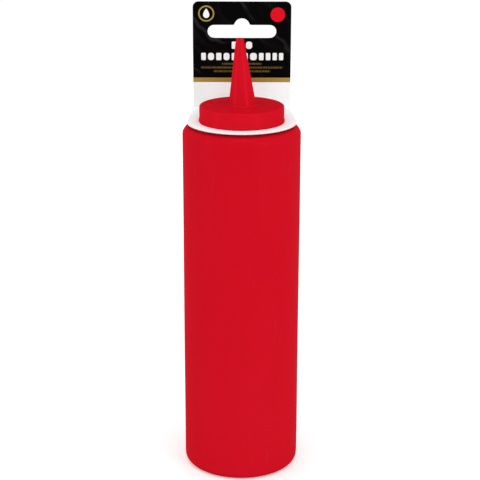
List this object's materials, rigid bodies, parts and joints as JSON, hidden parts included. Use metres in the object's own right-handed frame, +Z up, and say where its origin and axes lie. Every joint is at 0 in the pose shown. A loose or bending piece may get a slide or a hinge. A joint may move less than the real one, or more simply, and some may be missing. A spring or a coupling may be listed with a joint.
{
  "type": "squeeze bottle",
  "caption": "Upright squeeze bottle with a screw cap, a tapered nozzle and a folded hang card round its neck.",
  "frame": {"origin": "on the bottle's axis, in the plane of the ring that it stands on", "axes": "+Z up along the bottle's axis, -Y to the front, the way the card's printed panel faces, +X to the right of it"},
  "size_m": [0.06, 0.0615, 0.2424],
  "materials": {
    "bottle_plastic": "satin",
    "cap_plastic": "satin",
    "card_board": "matt coated board"
  },
  "bodies": {
    "root": {"bottle": "bottle_plastic", "cap": "cap_plastic", "card": "card_board"}
  },
  "joints": []
}
